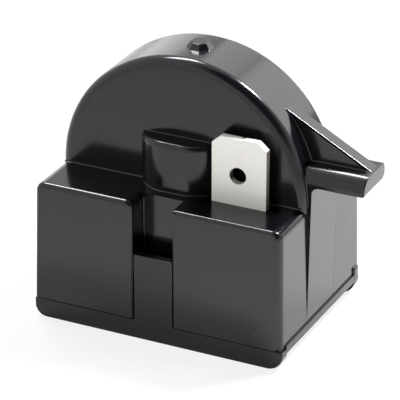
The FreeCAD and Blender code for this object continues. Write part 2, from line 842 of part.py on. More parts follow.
make_housing()
make_base_cover()
make_terminal("tab_terminal", socket_x, True)
make_terminal("start_terminal", -socket_x, False)
make_clamp("run_socket_spring", socket_x)
make_clamp("start_socket_spring", -socket_x)
make_strap("run_strap", 1, chamber_front)
make_strap("start_strap", -1, rear_plate_front)
make_rivet("run_rivet", socket_x)
make_rivet("start_rivet", -socket_x)
make_contact_spring("front_contact_spring", front_plate_rear, disc_front, 1)
make_contact_spring("rear_contact_spring", rear_plate_front, disc_rear, -1)
make_disc()

PARTS = ["housing", "base_cover", "tab_terminal", "start_terminal", "run_socket_spring", "start_socket_spring",
         "run_strap", "start_strap", "run_rivet", "start_rivet", "front_contact_spring", "rear_contact_spring",
         "ptc_disc"]

doc.recompute()
for thing in doc.Objects:
    if "Invalid" in thing.State or "Error" in thing.State:
        raise ValueError(f"{thing.Name} did not build: {thing.State}")
for label in PARTS:
    part = doc.getObjectsByLabel(label)[0]
    if part.Shape.isNull() or not part.Shape.isValid() or len(part.Shape.Solids) != 1:
        raise ValueError(f"{label} is not one sound solid")
    part.Shape.exportStep(f"parts/{label}.step")
    box = part.Shape.BoundBox
    print(label, round(part.Shape.Volume, 1), [round(v, 2) for v in (box.XMin, box.YMin, box.ZMin)],
          [round(v, 2) for v in (box.XMax, box.YMax, box.ZMax)])
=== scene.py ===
import logging
import math
from dataclasses import dataclass, field
from enum import Enum

import bpy
import numpy as np
from mathutils import Matrix, Vector
from mathutils.geometry import tessellate_polygon


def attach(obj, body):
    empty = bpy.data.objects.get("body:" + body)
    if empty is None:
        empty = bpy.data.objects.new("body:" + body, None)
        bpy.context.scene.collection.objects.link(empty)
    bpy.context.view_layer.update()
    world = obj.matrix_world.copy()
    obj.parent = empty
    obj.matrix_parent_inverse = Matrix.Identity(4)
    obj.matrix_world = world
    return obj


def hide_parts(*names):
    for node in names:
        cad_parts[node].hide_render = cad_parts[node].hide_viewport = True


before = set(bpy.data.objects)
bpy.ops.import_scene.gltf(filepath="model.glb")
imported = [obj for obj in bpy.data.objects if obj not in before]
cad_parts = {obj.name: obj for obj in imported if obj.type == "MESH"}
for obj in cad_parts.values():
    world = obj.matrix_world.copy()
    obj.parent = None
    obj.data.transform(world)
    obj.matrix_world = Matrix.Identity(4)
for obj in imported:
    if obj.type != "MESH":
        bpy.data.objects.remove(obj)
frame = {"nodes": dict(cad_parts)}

# Looks of a compressor start relay. Sizes are millimetres in the frame of the solids, and metres
# only where a mesh, a lamp or the camera is made.

MM = 0.001
CRISP = 0.02  # the radius of a corner that looks sharp
RIGHT, AHEAD, UP, DOWN = (1, 0, 0), (0, -1, 0), (0, 0, 1), (0, 0, -1)
LOG = logging.getLogger("start_relay")

Place = tuple[float, float, float]
Colour = tuple[float, float, float]
Rim = float | np.ndarray
Socket = bpy.types.NodeSocket
Tree = bpy.types.NodeTree


class Plane(Enum):
    """The plane that an outline is drawn in; it is extruded across that plane."""

    PLAN = "xy"
    FRONT = "xz"
    SIDE = "yz"


# Outlines and surfaces


@dataclass
class Outline:
    """A closed run of points, anticlockwise, with the outward normal at each.

    Args:
        points: N x 2 places.
        normals: N x 2 outward unit normals.
    """

    points: np.ndarray
    normals: np.ndarray

    def clean(self) -> "Outline":
        """Drops points that repeat their neighbour.

        Returns:
            The outline without them.
        """
        step = np.linalg.norm(self.points - np.roll(self.points, 1, axis=0), axis=1)
        keep = step > 1e-5
        return Outline(self.points[keep], self.normals[keep])


def rounded(corners: list[tuple[float, float]], radii: list[float] | float, steps: int = 8) -> Outline:
    """Outline of straight sides joined by arcs.

    Each arc touches both its sides: it begins radius * tan(turn / 2) before the corner, and its
    points are the centre plus the radius times the side's normal turned from 0 to the turn. A
    hollow corner has its centre on the other side.

    Args:
        corners: The corners, anticlockwise.
        radii: One radius for all corners, or one each.
        steps: Sides per arc.

    Returns:
        The outline, with steps + 1 points at each corner.
    """
    place = np.array(corners, float)
    radius = np.maximum(np.broadcast_to(np.array(radii, float), (len(place),)), 1e-4)
    into = place - np.roll(place, 1, axis=0)
    out = np.roll(place, -1, axis=0) - place
    into /= np.linalg.norm(into, axis=1, keepdims=True)
    out /= np.linalg.norm(out, axis=1, keepdims=True)
    turn = np.arctan2(into[:, 0] * out[:, 1] - into[:, 1] * out[:, 0], (into * out).sum(1))
    side = np.where(turn < 0, -1.0, 1.0)
    begin = place - into * (radius * np.tan(np.abs(turn) / 2))[:, None]
    normal = np.stack([into[:, 1], -into[:, 0]], axis=1)
    centre = begin - normal * (side * radius)[:, None]
    angle = turn[:, None] * np.linspace(0.0, 1.0, steps + 1)[None, :]
    turned = np.stack([
        normal[:, None, 0] * np.cos(angle) - normal[:, None, 1] * np.sin(angle),
        normal[:, None, 0] * np.sin(angle) + normal[:, None, 1] * np.cos(angle),
    ], axis=-1)
    points = centre[:, None, :] + turned * (side * radius)[:, None, None]
    return Outline(points.reshape(-1, 2), turned.reshape(-1, 2)).clean()


def rectangle(left: float, right: float, low: float, high: float) -> list[tuple[float, float]]:
    """Returns a rectangle's corners, anticlockwise."""
    return [(left, low), (right, low), (right, high), (left, high)]


def ring(x: float, y: float, radius: float, steps: int = 48) -> Outline:
    """A circle: centre plus radius times (cos a, sin a) for a from 0 to a full turn.

    Args:
        x: The centre's first value.
        y: The centre's second value.
        radius: Its radius.
        steps: Its number of sides.

    Returns:
        The outline.
    """
    angle = np.linspace(0.0, 2 * np.pi, steps, endpoint=False)
    normals = np.stack([np.cos(angle), np.sin(angle)], axis=1)
    return Outline(np.array([x, y]) + normals * radius, normals)


def lay(plane: Plane, flat: np.ndarray, across: np.ndarray) -> np.ndarray:
    """Turns outline places and depths into X, Y, Z.

    Args:
        plane: The plane of the outline.
        flat: ... x 2 values in the plane.
        across: ... values along the plane's normal (X for SIDE, -Y for FRONT, Z for PLAN).

    Returns:
        ... x 3 values.
    """
    if plane is Plane.PLAN:
        return np.stack([flat[..., 0], flat[..., 1], across], axis=-1)
    if plane is Plane.FRONT:
        return np.stack([flat[..., 0], -across, flat[..., 1]], axis=-1)
    return np.stack([across, flat[..., 0], flat[..., 1]], axis=-1)


@dataclass
class Skin:
    """Patches of surface, sewn into one mesh with their own normals.

    Args:
        points: Arrays of places, one per patch.
        faces: Arrays of corner numbers, one row per face.
        normals: Arrays of normals, one per face corner.
        solids: Number of the closed solid that each patch belongs to.
    """

    points: list[np.ndarray] = field(default_factory=list)
    faces: list[np.ndarray] = field(default_factory=list)
    normals: list[np.ndarray] = field(default_factory=list)
    solids: list[int] = field(default_factory=list)
    count: int = 0

    def add(self, points: np.ndarray, faces: np.ndarray, normals: np.ndarray) -> None:
        """Adds one patch.

        Args:
            points: N x 3 places.
            faces: F x K numbers into points, anticlockwise from outside.
            normals: F x K x 3 normals.
        """
        self.points.append(points)
        self.faces.append(faces + self.count)
        self.normals.append(normals)
        self.solids.append(0)
        self.count += len(points)

    def grid(self, points: np.ndarray, normals: np.ndarray, wrap: bool = True) -> None:
        """Adds a grid of quads: rows run up the surface, columns run round it.

        Args:
            points: R x C x 3 places.
            normals: R x C x 3 normals.
            wrap: Whether the last column joins the first.
        """
        rows, columns = points.shape[:2]
        number = np.arange(rows * columns).reshape(rows, columns)
        after = np.roll(number, -1, axis=1)
        if not wrap:
            number, after = number[:, :-1], after[:, :-1]
        quads = np.stack([number[:-1], after[:-1], after[1:], number[1:]], axis=-1).reshape(-1, 4)
        flat = normals.reshape(-1, 3)
        self.add(points.reshape(-1, 3), quads, flat[quads])

    def cap(self, loops: list[np.ndarray], normal: np.ndarray | Place) -> None:
        """Fills a flat outline that may have holes.

        Args:
            loops: The outer run of places and then the holes' runs, N x 3 each.
            normal: The face's normal.
        """
        normal = np.asarray(normal, float)
        loops = [run[np.linalg.norm(run - np.roll(run, 1, axis=0), axis=1) > 2e-4] for run in loops]
        places = np.concatenate(loops)
        triangles = np.array(tessellate_polygon([[Vector(p) for p in run] for run in loops]), int)
        a, b, c = (places[triangles[:, k]] for k in range(3))
        wrong = (np.cross(b - a, c - a) * normal).sum(1) < 0
        triangles[wrong] = triangles[wrong][:, ::-1]
        solid = np.linalg.norm(np.cross(b - a, c - a), axis=1) > 1e-9
        triangles = triangles[solid]
        self.add(places, triangles, np.broadcast_to(normal, (*triangles.shape, 3)))

    def take(self, other: "Skin") -> None:
        """Adds every patch of another skin, as solids of their own.

        Args:
            other: The other skin.
        """
        base = max(self.solids, default=-1) + 1
        start = 0
        for points, faces, normals, solid in zip(other.points, other.faces, other.normals, other.solids):
            self.add(points, faces - start, normals)
            self.solids[-1] = base + solid
            start += len(points)

    def piece(self, name: str) -> bpy.types.Object:
        """Sews the patches: places of one solid nearer than a tenth of a micron become one vertex.

        Args:
            name: The object's name.

        Returns:
            The linked mesh object, at the origin.
        """
        places = np.concatenate(self.points)
        solid = np.repeat(self.solids, [len(p) for p in self.points])[:, None]
        keys = np.hstack([np.round(places, 4), solid])
        _, first, same = np.unique(keys, axis=0, return_index=True, return_inverse=True)
        same = same.reshape(-1)
        mesh = bpy.data.meshes.new(name)
        faces, normals = [], []
        for block, facing in zip(self.faces, self.normals):
            corner = same[block]
            new = corner != np.roll(corner, 1, axis=1)
            for sides in (3, 4):
                rows = new.sum(1) == sides
                faces += corner[rows][new[rows]].reshape(-1, sides).tolist()
                normals.append(facing[rows][new[rows]])
        mesh.from_pydata((places[first] * MM).tolist(), [], faces)
        mesh.polygons.foreach_set("use_smooth", np.ones(len(mesh.polygons), bool))
        normals = np.concatenate(normals)
        normals = normals / np.linalg.norm(normals, axis=1, keepdims=True)
        mesh.update()
        mesh.normals_split_custom_set(normals.tolist())
        thing = bpy.data.objects.new(name, mesh)
        bpy.context.scene.collection.objects.link(thing)
        LOG.info("%s: %d vertices, %d faces", name, len(mesh.vertices), len(mesh.polygons))
        return thing


@dataclass
class Bar:
    """A prism whose two ends have rounded rims.

    Every ring of the rim stands in by rim * (1 - cos t) and up by rim * sin t, for t from 0 at the
    side to a quarter turn at the flat end, and its normal is the side's times cos t plus the
    end's times sin t.

    Args:
        plane: The plane of the outline.
        outline: The outline.
        low: Where it begins across the plane.
        high: Where it ends.
        rim_low: Rim radius at the low end (one value, or one per point).
        rim_high: Rim radius at the high end.
        holes: Outlines of through holes.
        hole_rim: Rim radius of the holes.
        steps: Rings per rim.
    """

    plane: Plane
    outline: Outline
    low: float
    high: float
    rim_low: Rim = 0.1
    rim_high: Rim = 0.1
    holes: list[Outline] = field(default_factory=list)
    hole_rim: float = 0.06
    steps: int = 5

    def rings(self, outline: Outline, rims: tuple[Rim, Rim], inward: float) -> tuple[np.ndarray, np.ndarray]:
        """Works out the rings of places and normals.

        Args:
            outline: The outline of the wall.
            rims: Radii at the low and the high end.
            inward: 1 for an outside wall, -1 for a hole's wall.

        Returns:
            Places and normals, rows x points x 3.
        """
        rim_low, rim_high = (np.broadcast_to(np.asarray(rim, float), (len(outline.points),)) for rim in rims)
        turn = np.linspace(0.0, np.pi / 2, self.steps + 1)[:, None]
        inset = np.concatenate([rim_low * (1 - np.cos(turn[::-1])), rim_high * (1 - np.cos(turn))])
        depth = np.concatenate([self.low + rim_low * (1 - np.sin(turn[::-1])),
                                self.high - rim_high * (1 - np.sin(turn))])
        tilt = np.concatenate([-turn[::-1], turn])
        places = lay(self.plane, outline.points[None] - inward * outline.normals[None] * inset[..., None],
                     depth)
        flat = np.broadcast_to(inward * outline.normals[None] * np.cos(tilt)[..., None], (*depth.shape, 2))
        normals = lay(self.plane, flat, np.broadcast_to(np.sin(tilt), depth.shape))
        return places, normals

    def skin(self) -> Skin:
        """Builds the walls, the holes and the two flat ends.

        Returns:
            The surface.
        """
        made = Skin()
        places, normals = self.rings(self.outline, (self.rim_low, self.rim_high), 1.0)
        made.grid(places, normals)
        starts, ends = [places[0]], [places[-1]]
        for hole in self.holes:
            inner, facing = self.rings(hole, (self.hole_rim, self.hole_rim), -1.0)
            made.grid(inner[:, ::-1], facing[:, ::-1])
            starts.append(inner[0])
            ends.append(inner[-1])
        up = lay(self.plane, np.zeros(2), np.array(1.0))
        made.cap(ends, up)
        made.cap(starts, -up)
        return made


def run_back(outline: Outline, start: float, end: float, front_rim: Rim, back_rim: Rim, steps: int) -> Skin:
    """Runs an upright outline back from start to end along Y, with its rims rounded.

    Args:
        outline: The outline, in X and Z.
        start: Y of its front.
        end: Y of its back.
        front_rim: Rim radius at the front (one value, or one per point).
        back_rim: Rim radius at the back.
        steps: Rings per rim.

    Returns:
        The surface.
    """
    return Bar(Plane.FRONT, outline, -end, -start, back_rim, front_rim, steps=steps).skin()


@dataclass
class Cove:
    """A small hollow fillet where two faces meet, run along a path.

    Its section is a quarter circle that bulges towards the corner: a place is the corner plus
    (1 - sin t) * radius along one face and (1 - cos t) * radius along the other, for t from 0 to
    a quarter turn, closed behind by two short sides sunk into the faces.

    Args:
        path: N x 3 corner places.
        out: Unit vector along the first face, away from the corner, or one per place.
        up: Unit vector along the second face, or one per place.
        radius: The fillet's radius.
        sink: How far its back sits inside the faces.
        steps: Sides of its section.
    """

    path: np.ndarray
    out: np.ndarray | Place
    up: np.ndarray | Place
    radius: float
    sink: float = 0.06
    steps: int = 5

    def __post_init__(self) -> None:
        """Gives every place of the path its two vectors."""
        self.out, self.up = (np.broadcast_to(np.asarray(way, float), self.path.shape)
                             for way in (self.out, self.up))

    def skin(self) -> Skin:
        """Builds the strip and its back.

        Returns:
            The surface.
        """
        turn = np.linspace(0.0, np.pi / 2, self.steps + 1)
        along = (1 - np.sin(turn)) * self.radius
        above = (1 - np.cos(turn)) * self.radius
        face = np.stack([np.sin(turn), np.cos(turn)], axis=1)
        back = np.array([[-self.sink, self.radius], [-self.sink, -self.sink], [self.radius, -self.sink]])
        made = Skin()
        section = np.stack([along, above], axis=1)
        made.grid(self.run(section), self.run(face, place=False), wrap=False)
        behind = np.concatenate([section[-1:], back, section[:1]])
        behind_normals = np.array([[-0.7, 0.7], [-0.7, 0.7], [-0.7, -0.7], [0.7, -0.7], [0.7, -0.7]])
        made.grid(self.run(behind), self.run(behind_normals, place=False), wrap=False)
        ends = self.run(np.concatenate([section, back]))
        away = np.cross(self.out[0], self.up[0])
        for index in (0, -1):
            heading = away if ((self.path[-1] - self.path[0]) @ away) * (index + 0.5) < 0 else -away
            made.cap([ends[:, index]], heading)
        return made

    def run(self, section: np.ndarray, place: bool = True) -> np.ndarray:
        """Carries section values along the path: a row per value, a column per place of the path.

        Args:
            section: N x 2 values along out and up.
            place: True for places, which the path's are added to, False for directions.

        Returns:
            Rows x columns x 3 values.
        """
        moved = section[:, None, 0:1] * self.out[None] + section[:, None, 1:2] * self.up[None]
        moved = moved + (self.path[None] if place else 0.0)
        forward = np.cross(self.out[0], self.up[0]) @ (self.path[-1] - self.path[0])
        return moved[:, ::-1] if forward > 0 else moved


def fillet(start: Place, end: Place, out: Place, up: Place, radius: float) -> Skin:
    """Returns a straight hollow fillet between two places."""
    return Cove(np.linspace(np.array(start, float), np.array(end, float), 2), out, up, radius).skin()


def joined(skins: list[Skin]) -> Skin:
    """Brings the patches of several skins into one.

    Args:
        skins: The skins.

    Returns:
        The skin that holds them all.
    """
    whole = Skin()
    for skin in skins:
        whole.take(skin)
    return whole


# Shader groups


class Nodes:
    """A node tree with short ways to add and join nodes."""

    def __init__(self, tree: Tree) -> None:
        """Keeps the tree."""
        self.tree = tree

    def add(self, kind: str, **values: object) -> bpy.types.Node:
        """Adds a node and sets its properties.

        Args:
            kind: The node's type name.
            **values: Property values by name.

        Returns:
            The node.
        """
        node = self.tree.nodes.new(kind)
        for name, value in values.items():
            setattr(node, name, value)
        return node

    def put(self, value: object, node: bpy.types.Node, socket: str | int) -> None:
        """Joins an output to a node's input, or writes a plain value into it.

        Args:
            value: The output or the plain value.
            node: The node.
            socket: The input's name or number.
        """
        if isinstance(value, Socket):
            self.tree.links.new(value, node.inputs[socket])
        else:
            node.inputs[socket].default_value = value

    def math(self, operation: str, first: object, second: object = 0.0) -> Socket:
        """Adds a Math node.

        Args:
            operation: Its operation.
            first: An output or a number.
            second: An output or a number.

        Returns:
            Its output.
        """
        node = self.add("ShaderNodeMath", operation=operation)
        self.put(first, node, 0)
        self.put(second, node, 1)
        return node.outputs[0]

    def noise(self, where: Socket, scale: object, detail: float,
              rough: float = 0.5) -> Socket:
        """Adds a noise texture.

        Args:
            where: The places it is read at.
            scale: Its scale, an output or a number.
            detail: Its finer octaves.
            rough: How much those octaves count.

        Returns:
            Its value.
        """
        node = self.add("ShaderNodeTexNoise")
        for label, value in (("Vector", where), ("Scale", scale), ("Detail", detail), ("Roughness", rough)):
            self.put(value, node, label)
        return node.outputs["Fac"]

    def span(self, value: Socket, low: float, high: float,
             to_low: float = 0.0, to_high: float = 1.0) -> Socket:
        """Adds a clamped Map Range.

        Args:
            value: The output to map.
            low: The value that becomes to_low.
            high: The value that becomes to_high.
            to_low: The result at the low end.
            to_high: The result at the high end.

        Returns:
            Its output.
        """
        node = self.add("ShaderNodeMapRange")
        labels = ("Value", "From Min", "From Max", "To Min", "To Max")
        for label, number in zip(labels, (value, low, high, to_low, to_high)):
            self.put(number, node, label)
        return node.outputs["Result"]


def new_group(name: str, inputs: dict[str, float],
              outputs: tuple[str, ...]) -> tuple[Nodes, bpy.types.Node, bpy.types.Node]:
    """Makes a shader group that takes a Vector and numbers, and puts out numbers.

    Args:
        name: The group's name.
        inputs: Default number by input name.
        outputs: Names of the outputs.

    Returns:
        The group's nodes, its input node and its output node.
    """
    nodes = Nodes(bpy.data.node_groups.new(name, "ShaderNodeTree"))
    sockets = nodes.tree.interface
    sockets.new_socket(name="Vector", in_out="INPUT", socket_type="NodeSocketVector")
    for label, value in inputs.items():
        sockets.new_socket(name=label, in_out="INPUT", socket_type="NodeSocketFloat").default_value = value
    for label in outputs:
        sockets.new_socket(name=label, in_out="OUTPUT", socket_type="NodeSocketFloat")
    return nodes, nodes.add("NodeGroupInput"), nodes.add("NodeGroupOutput")


def moulded_skin_group() -> Tree:
    """Fine life of a moulded surface.

    Height is fine grain plus a soft wave of sink marks; Gloss is a slow cloud; Dust is the few
    brightest cells of a high noise.

    Returns:
        The group.
    """
    nodes, start, end = new_group("moulded_skin", {"Grain Scale": 2600.0, "Wave Scale": 160.0},
                                  ("Height", "Gloss", "Dust"))
    where = start.outputs["Vector"]
    grain = nodes.noise(where, start.outputs["Grain Scale"], 2.0)
    wave = nodes.noise(where, start.outputs["Wave Scale"], 1.0)
    nodes.put(nodes.math("ADD", nodes.math("MULTIPLY", grain, 0.35), wave), end, "Height")
    nodes.put(nodes.span(nodes.noise(where, 220.0, 3.0, 0.6), 0.3, 0.7), end, "Gloss")
    nodes.put(nodes.span(nodes.noise(where, 1900.0, 1.0, 0.4), 0.79, 0.83), end, "Dust")
    return nodes.tree


def metal_skin_group() -> Tree:
    """Life of a plated or rolled metal strip: Lines along the roll, Cloud, and Stain spots.

    Returns:
        The group.
    """
    nodes, start, end = new_group("metal_skin", {"Line Scale": 900.0}, ("Lines", "Cloud", "Stain"))
    where = start.outputs["Vector"]
    stretch = nodes.add("ShaderNodeMapping")
    nodes.put(where, stretch, "Vector")
    nodes.put((1.0, 1.0, 0.06), stretch, "Scale")
    nodes.put(nodes.noise(stretch.outputs["Vector"], start.outputs["Line Scale"], 3.0), end, "Lines")
    nodes.put(nodes.span(nodes.noise(where, 260.0, 4.0, 0.55), 0.3, 0.7), end, "Cloud")
    nodes.put(nodes.span(nodes.noise(where, 620.0, 3.0, 0.6), 0.62, 0.74), end, "Stain")
    return nodes.tree


# Finishes


class Surface:
    """A new material, with its shader and its copy of a shared surface group."""

    def __init__(self, name: str, group: Tree, values: dict[str, float]) -> None:
        """Makes the material and feeds the group Object coordinates and the values.

        Args:
            name: The material's name.
            group: The shared surface group.
            values: Numbers by the names of the group's inputs.
        """
        self.made = bpy.data.materials.new(name)
        self.made.use_nodes = True
        self.nodes = Nodes(self.made.node_tree)
        self.shader = self.made.node_tree.nodes["Principled BSDF"]
        self.coordinates = self.nodes.add("ShaderNodeTexCoord").outputs
        life = self.nodes.add("ShaderNodeGroup", node_tree=group)
        self.nodes.put(self.coordinates["Object"], life, "Vector")
        for label, value in values.items():
            self.nodes.put(value, life, label)
        self.life = life.outputs

    def blend(self, factor: Socket, first: object, second: Colour) -> Socket:
        """Turns the first colour into the second by the factor.

        Args:
            factor: 0 for the first colour, 1 for the second.
            first: A colour or an output.
            second: A colour.

        Returns:
            The mixed colour.
        """
        node = self.nodes.add("ShaderNodeMix", data_type="RGBA")
        self.nodes.put(factor, node, "Factor")
        self.nodes.put(first if isinstance(first, Socket) else (*first, 1.0), node, "A")
        self.nodes.put((*second, 1.0), node, "B")
        return node.outputs["Result"]

    def finish(self, colour: Socket, rough: Socket,
               height: Socket | None = None, bump: float = 0.0) -> bpy.types.Material:
        """Joins the shader's colour, roughness and bump, and returns the material.

        Args:
            colour: The base colour.
            rough: The roughness.
            height: The bump's height, or None for a smooth surface.
            bump: The bump's strength.

        Returns:
            The material.
        """
        self.nodes.put(colour, self.shader, "Base Color")
        self.nodes.put(rough, self.shader, "Roughness")
        if height is not None:
            node = self.nodes.add("ShaderNodeBump")
            for label, value in (("Strength", bump), ("Distance", 0.1 * MM), ("Height", height)):
                self.nodes.put(value, node, label)
            self.nodes.put(node.outputs["Normal"], self.shader, "Normal")
        return self.made


@dataclass(frozen=True)
class MouldedPlastic:
    """Glossy moulded thermoset.

    Args:
        name: The material's name.
        colour: Base colour, linear.
        rough: Roughness at the glossiest places.
        haze: Extra roughness in the clouds.
        bump: Depth of the grain and waves.
        ior: Refractive index, which sets how much it mirrors.
        sheen: Tint of what it mirrors.
        grain: Scale of the grain.
        wave: Scale of the sink marks.
        dust: How much paler and rougher a speck of dust is.
    """

    name: str
    colour: Colour
    rough: float = 0.13
    haze: float = 0.07
    bump: float = 0.1
    ior: float = 1.53
    sheen: Colour = (1.0, 1.0, 1.0)
    grain: float = 2600.0
    wave: float = 160.0
    dust: tuple[float, float] = (0.05, 0.25)

    def material(self, group: Tree) -> bpy.types.Material:
        """Builds the material.

        Args:
            group: The shared moulded surface group.

        Returns:
            The material.
        """
        made = Surface(self.name, group, {"Grain Scale": self.grain, "Wave Scale": self.wave})
        made.nodes.put(self.ior, made.shader, "IOR")
        made.nodes.put((*self.sheen, 1.0), made.shader, "Specular Tint")
        paler, rougher = self.dust
        cloud = made.nodes.span(made.life["Gloss"], 0.0, 1.0, self.rough, self.rough + self.haze)
        rough = made.nodes.math("ADD", cloud, made.nodes.math("MULTIPLY", made.life["Dust"], rougher))
        tone = made.blend(made.life["Dust"], self.colour, tuple(c + paler for c in self.colour))
        return made.finish(tone, rough, made.life["Height"], self.bump)


@dataclass(frozen=True)
class StripMetal:
    """Rolled, plated or drawn metal.

    Args:
        name: The material's name.
        colour: Base colour, linear.
        stain: Colour of the stained spots.
        rough: Roughness of the brightest lines.
        spread: Extra roughness in the clouds.
        staining: Share of the stain colour in a spot.
        bump: Depth of the lines of the roll.
        metal: How metallic it is; old tin plating is dull and scatters most light.
        side_shade_and_cut_edge: How far the sides that face along X are darkened, nearly to black: painted
            shade for the dark that they mirror, together with the duller bare metal of their cut edges.
        lines: Scale of the lines.
    """

    name: str
    colour: Colour
    stain: Colour
    rough: float = 0.3
    spread: float = 0.15
    staining: float = 0.4
    bump: float = 0.05
    metal: float = 1.0
    side_shade_and_cut_edge: float = 0.0
    lines: float = 900.0

    def material(self, group: Tree) -> bpy.types.Material:
        """Builds the material.

        Args:
            group: The shared metal surface group.

        Returns:
            The material.
        """
        made = Surface(self.name, group, {"Line Scale": self.lines})
        nodes = made.nodes
        nodes.put(self.metal, made.shader, "Metallic")
        tone = made.blend(nodes.math("MULTIPLY", made.life["Stain"], self.staining), self.colour, self.stain)
        # Painted shade: the faces that look along X are blended to a near-black brown, standing in for the
        # dark that these sides mirror, together with the duller bare metal of their cut edges.
        facing = nodes.add("ShaderNodeSeparateXYZ")
        nodes.put(made.coordinates["Normal"], facing, "Vector")
        side_shade_mask = nodes.span(nodes.math("ABSOLUTE", facing.outputs["X"]), 0.6, 0.9, 0.0, self.side_shade_and_cut_edge)
        side_shaded_tone = made.blend(side_shade_mask, tone, tuple(0.15 * c for c in self.stain))
        rough = nodes.span(made.life["Cloud"], 0.0, 1.0, self.rough, self.rough + self.spread)
        return made.finish(side_shaded_tone, rough, made.life["Lines"], self.bump)


@dataclass(frozen=True)
class FiredCeramic:
    """The disc's fired ceramic with silvered faces, in clouds of grey and brighter grey."""

    name: str = "disc_ceramic"
    grey: Colour = (0.42, 0.40, 0.38)
    bright: Colour = (0.60, 0.59, 0.58)
    rough: tuple[float, float] = (0.55, 0.75)

    def material(self, group: Tree) -> bpy.types.Material:
        """Builds the material.

        Args:
            group: The shared moulded surface group.

        Returns:
            The material.
        """
        made = Surface(self.name, group, {})
        tone = made.blend(made.life["Gloss"], self.grey, self.bright)
        return made.finish(tone, made.nodes.span(made.life["Gloss"], 0.0, 1.0, *self.rough))


class Finishes:
    """Every material, built once, by the record's slot names."""

    def __init__(self) -> None:
        """Builds the groups and the materials."""
        moulded, metal = moulded_skin_group(), metal_skin_group()
        steel_stain, brass_stain = (0.45, 0.42, 0.38), (0.50, 0.35, 0.15)
        # The plated strip's sides along X get painted shade, nearly black, beside the duller bare metal of
        # their cut edges.
        plated = {"rough": 0.52, "spread": 0.1, "staining": 0.3, "metal": 0.18, "side_shade_and_cut_edge": 0.95}
        plastics = [
            MouldedPlastic("housing_black", (0.0032, 0.0032, 0.0048), sheen=(0.965, 0.965, 1.0)),
            MouldedPlastic("cover_black", (0.0085, 0.008, 0.008), rough=0.18, ior=1.44),
            FiredCeramic(),
        ]
        metals = [
            StripMetal("tinned_brass", (0.83, 0.815, 0.77), (0.60, 0.54, 0.42), **plated),
            StripMetal("spring_steel", (0.56, 0.57, 0.58), (0.40, 0.36, 0.30)),
            StripMetal("strap_brass", (0.80, 0.64, 0.32), brass_stain),
            StripMetal("rivet_brass", (0.83, 0.68, 0.38), brass_stain),
            StripMetal("contact_steel", (0.62, 0.62, 0.63), steel_stain),
        ]
        self.slots: dict[str, bpy.types.Material] = {
            **{finish.name: finish.material(moulded) for finish in plastics},
            **{finish.name: finish.material(metal) for finish in metals},
        }

    def dress(self, thing: bpy.types.Object, slot: str) -> None:
        """Gives a piece the material of a slot."""
        thing.data.materials.clear()
        thing.data.materials.append(self.slots[slot])


# The housing


